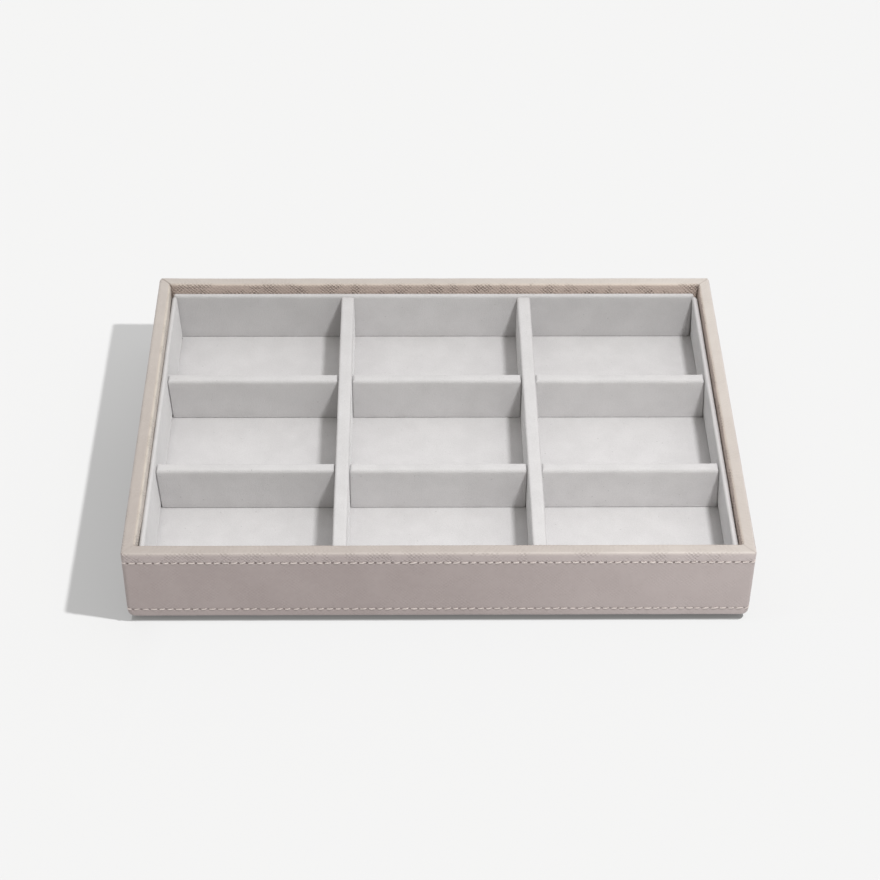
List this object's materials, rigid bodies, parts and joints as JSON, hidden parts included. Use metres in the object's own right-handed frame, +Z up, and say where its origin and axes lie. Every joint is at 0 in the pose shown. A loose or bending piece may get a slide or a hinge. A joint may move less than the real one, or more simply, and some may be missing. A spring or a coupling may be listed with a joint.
{
  "type": "jewelry tray",
  "caption": "Low rectangular stacking jewelry tray: leatherette-covered boards with a velvet insert whose walls and crossing dividers make small square compartments.",
  "frame": {"origin": "middle of the underside of the raised foot that the tray stands on", "axes": "+X to the right along the long side, +Y to the back, +Z up"},
  "size_m": [0.25, 0.18, 0.0381],
  "materials": {
    "leatherette": "fine crosshatch grain, matt, grey-blush",
    "velvet": "short flocked nap, pale grey",
    "foot_velvet": "short flocked nap, mid grey",
    "board": "raw fibreboard",
    "card": "raw greyboard"
  },
  "bodies": {
    "root": {"outer_wrap": "leatherette", "front_board": "board", "back_board": "board", "left_board": "board", "right_board": "board", "base_board": "board", "plinth_board": "board", "plinth_cover": "foot_velvet", "floor_card": "card", "floor_velvet": "velvet", "front_panel_core": "card", "front_panel_velvet": "velvet", "back_panel_core": "card", "back_panel_velvet": "velvet", "left_panel_core": "card", "left_panel_velvet": "velvet", "right_panel_core": "card", "right_panel_velvet": "velvet", "left_divider_core": "card", "left_divider_velvet": "velvet", "right_divider_core": "card", "right_divider_velvet": "velvet", "back_left_cross_core": "card", "back_left_cross_velvet": "velvet", "back_middle_cross_core": "card", "back_middle_cross_velvet": "velvet", "back_right_cross_core": "card", "back_right_cross_velvet": "velvet", "front_left_cross_core": "card", "front_left_cross_velvet": "velvet", "front_middle_cross_core": "card", "front_middle_cross_velvet": "velvet", "front_right_cross_core": "card", "front_right_cross_velvet": "velvet"}
  },
  "joints": []
}
